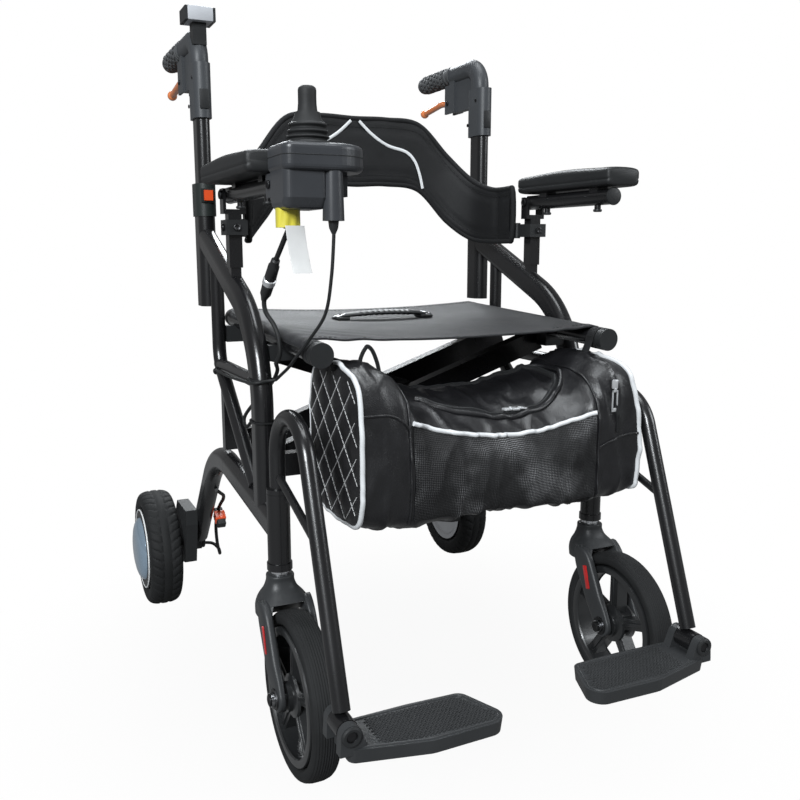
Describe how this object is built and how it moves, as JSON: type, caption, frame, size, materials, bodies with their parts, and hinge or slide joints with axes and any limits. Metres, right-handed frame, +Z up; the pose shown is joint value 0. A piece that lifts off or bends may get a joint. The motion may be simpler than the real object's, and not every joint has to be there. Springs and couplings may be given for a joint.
{
  "type": "rollator transport chair",
  "caption": "Folding powered rollator transport chair with joystick arm, padded back band, sling seat over a bag, swing-away footrests and hub-motor rear wheels.",
  "frame": {"origin": "on the floor, under the middle of the chair's box", "axes": "+X to the left of the person seated, +Y to the back, +Z up"},
  "size_m": [0.688, 0.8982, 0.976],
  "materials": {
    "frame": "satin powder coat",
    "plastic_black": "moulded, fine grain",
    "plastic_grey": "moulded, satin",
    "grip_rubber": "ribbed",
    "tyre": "matt",
    "rim": "moulded",
    "steel": "bright plated",
    "hub_metal": "brushed",
    "orange": "glossy",
    "lever_orange": "glossy",
    "display_grey": "satin",
    "pad_vinyl": "soft moulded skin",
    "cable": "smooth",
    "seat_fabric": "coated weave",
    "band_fabric": "padded weave",
    "bag_leather": "soft grained"
  },
  "bodies": {
    "frame_left": {"frame_left": "frame", "height_collar_left": "plastic_black", "rail_saddles_left": "plastic_black", "arm_post_left": "frame", "band_clamp_left": "plastic_black", "motor_bracket_left": "plastic_black", "motor_lead_left": "cable", "back_band": "band_fabric", "joystick_leads": "cable"},
    "caster_left": {"caster_fork_left": "plastic_grey", "caster_hardware_left": "steel"},
    "front_wheel_left": {"caster_tyre_left": "tyre", "caster_rim_left": "rim"},
    "drive_wheel_left": {"drive_tyre_left": "tyre", "drive_hub_left": "hub_metal"},
    "handle_left": {"handle_post_left": "frame", "handle_housing_left": "plastic_grey", "hand_grip_left": "grip_rubber", "display_unit": "display_grey"},
    "brake_lever_left": {"brake_lever_left": "lever_orange"},
    "height_button_left": {"height_button_left": "orange"},
    "armrest_left": {"arm_tube_left": "frame", "arm_pad_left": "pad_vinyl", "joystick_case": "plastic_grey", "boot_lower": "cable"},
    "footrest_left": {"footrest_hanger_left": "frame"},
    "footplate_left": {"footplate_left": "plastic_grey"},
    "frame_right": {"frame_right": "frame", "height_collar_right": "plastic_black", "rail_saddles_right": "plastic_black", "arm_post_right": "frame", "band_clamp_right": "plastic_black", "motor_bracket_right": "plastic_black", "motor_lead_right": "cable"},
    "caster_right": {"caster_fork_right": "plastic_grey", "caster_hardware_right": "steel"},
    "front_wheel_right": {"caster_tyre_right": "tyre", "caster_rim_right": "rim"},
    "drive_wheel_right": {"drive_tyre_right": "tyre", "drive_hub_right": "hub_metal"},
    "handle_right": {"handle_post_right": "frame", "handle_housing_right": "plastic_grey", "hand_grip_right": "grip_rubber"},
    "brake_lever_right": {"brake_lever_right": "lever_orange"},
    "height_button_right": {"height_button_right": "orange"},
    "armrest_right": {"arm_tube_right": "frame", "arm_pad_right": "pad_vinyl"},
    "footrest_right": {"footrest_hanger_right": "frame"},
    "footplate_right": {"footplate_right": "plastic_grey"},
    "stick_gimbal": {"joystick_gimbal": "steel", "boot_upper": "cable"},
    "stick": {"joystick_knob": "plastic_black"},
    "brace_a": {"cross_brace_a": "frame", "brace_pin": "steel", "rail_caps_a": "plastic_black", "seat_sling": "seat_fabric", "seat_handle": "plastic_black"},
    "brace_b": {"cross_brace_b": "frame", "rail_caps_b": "plastic_black"},
    "bag": {"under_seat_bag": "bag_leather"}
  },
  "joints": [
    {"name": "fold", "type": "hinge", "parent": "frame_left", "child": "brace_a", "pos_m": [-0.205, -0.04235, 0.355], "axis": [0, -1, 0], "range_deg": [0, 22], "deforming": ["back_band", "seat_sling", "under_seat_bag", "seat_handle", "joystick_leads"]},
    {"name": "brace_cross", "type": "hinge", "parent": "brace_a", "child": "brace_b", "pos_m": [0, -0.04235, 0.426], "axis": [0, -1, 0], "range_deg": [-44, 0]},
    {"name": "frame_swing", "type": "hinge", "parent": "brace_b", "child": "frame_right", "pos_m": [0.205, -0.04235, 0.355], "axis": [0, -1, 0], "range_deg": [0, 22]},
    {"name": "bag_lift", "type": "slide", "parent": "frame_left", "child": "bag", "axis": [-0.2784, 0, 0.9605], "range_m": [0, 0.1496]},
    {"name": "caster_swivel_left", "type": "hinge", "parent": "frame_left", "child": "caster_left", "pos_m": [-0.24, -0.19035, 0.22], "axis": [0, 0, 1], "continuous": true},
    {"name": "front_wheel_spin_left", "type": "hinge", "parent": "caster_left", "child": "front_wheel_left", "pos_m": [-0.24, -0.26235, 0.1015], "axis": [1, 0, 0], "continuous": true},
    {"name": "drive_wheel_spin_left", "type": "hinge", "parent": "frame_left", "child": "drive_wheel_left", "pos_m": [-0.303, 0.34765, 0.1015], "axis": [1, 0, 0], "continuous": true},
    {"name": "handle_height_left", "type": "slide", "parent": "frame_left", "child": "handle_left", "axis": [0, 0, 1], "range_m": [-0.08, 0.04]},
    {"name": "brake_squeeze_left", "type": "hinge", "parent": "handle_left", "child": "brake_lever_left", "pos_m": [-0.24, 0.25165, 0.89], "axis": [1, 0, 0], "range_deg": [0, 12], "stiffness_Nm_per_rad": 2},
    {"name": "height_press_left", "type": "slide", "parent": "frame_left", "child": "height_button_left", "axis": [0, 1, 0], "range_m": [0, 0.003], "stiffness_N_per_m": 800},
    {"name": "armrest_flip_left", "type": "hinge", "parent": "frame_left", "child": "armrest_left", "pos_m": [-0.24, -0.01735, 0.703], "axis": [-1, 0, 0], "range_deg": [0, 90], "deforming": ["joystick_leads"]},
    {"name": "footrest_swing_left", "type": "hinge", "parent": "frame_left", "child": "footrest_left", "pos_m": [-0.24, -0.19035, 0.38], "axis": [0, 0, -1], "range_deg": [0, 80]},
    {"name": "footplate_flip_left", "type": "hinge", "parent": "footrest_left", "child": "footplate_left", "pos_m": [-0.24, -0.40235, 0.135], "axis": [0, -1, 0], "range_deg": [0, 88]},
    {"name": "caster_swivel_right", "type": "hinge", "parent": "frame_right", "child": "caster_right", "pos_m": [0.24, -0.19035, 0.22], "axis": [0, 0, 1], "continuous": true},
    {"name": "front_wheel_spin_right", "type": "hinge", "parent": "caster_right", "child": "front_wheel_right", "pos_m": [0.24, -0.26235, 0.1015], "axis": [1, 0, 0], "continuous": true},
    {"name": "drive_wheel_spin_right", "type": "hinge", "parent": "frame_right", "child": "drive_wheel_right", "pos_m": [0.303, 0.34765, 0.1015], "axis": [1, 0, 0], "continuous": true},
    {"name": "handle_height_right", "type": "slide", "parent": "frame_right", "child": "handle_right", "axis": [0, 0, 1], "range_m": [-0.08, 0.04]},
    {"name": "brake_squeeze_right", "type": "hinge", "parent": "handle_right", "child": "brake_lever_right", "pos_m": [0.24, 0.25165, 0.89], "axis": [1, 0, 0], "range_deg": [0, 12], "stiffness_Nm_per_rad": 2},
    {"name": "height_press_right", "type": "slide", "parent": "frame_right", "child": "height_button_right", "axis": [0, 1, 0], "range_m": [0, 0.003], "stiffness_N_per_m": 800},
    {"name": "armrest_flip_right", "type": "hinge", "parent": "frame_right", "child": "armrest_right", "pos_m": [0.24, -0.01735, 0.703], "axis": [-1, 0, 0], "range_deg": [0, 90]},
    {"name": "footrest_swing_right", "type": "hinge", "parent": "frame_right", "child": "footrest_right", "pos_m": [0.24, -0.19035, 0.38], "axis": [0, 0, 1], "range_deg": [0, 80]},
    {"name": "footplate_flip_right", "type": "hinge", "parent": "footrest_right", "child": "footplate_right", "pos_m": [0.24, -0.40235, 0.135], "axis": [0, 1, 0], "range_deg": [0, 88]},
    {"name": "stick_fore_aft", "type": "hinge", "parent": "armrest_left", "child": "stick_gimbal", "pos_m": [-0.218, -0.26235, 0.734], "axis": [1, 0, 0], "range_deg": [-15, 15], "stiffness_Nm_per_rad": 0.8, "deforming": ["boot_lower", "boot_upper"]},
    {"name": "stick_side", "type": "hinge", "parent": "stick_gimbal", "child": "stick", "pos_m": [-0.218, -0.26235, 0.734], "axis": [0, 1, 0], "range_deg": [-15, 15], "stiffness_Nm_per_rad": 0.8, "deforming": ["boot_upper", "boot_lower"]}
  ],
  "couplings": [
    {"joint": "brace_cross", "follows": "fold", "ratio": -2},
    {"joint": "frame_swing", "follows": "fold", "ratio": 1},
    {"joint": "bag_lift", "follows": "fold", "m_per_rad": 0.38843}
  ]
}
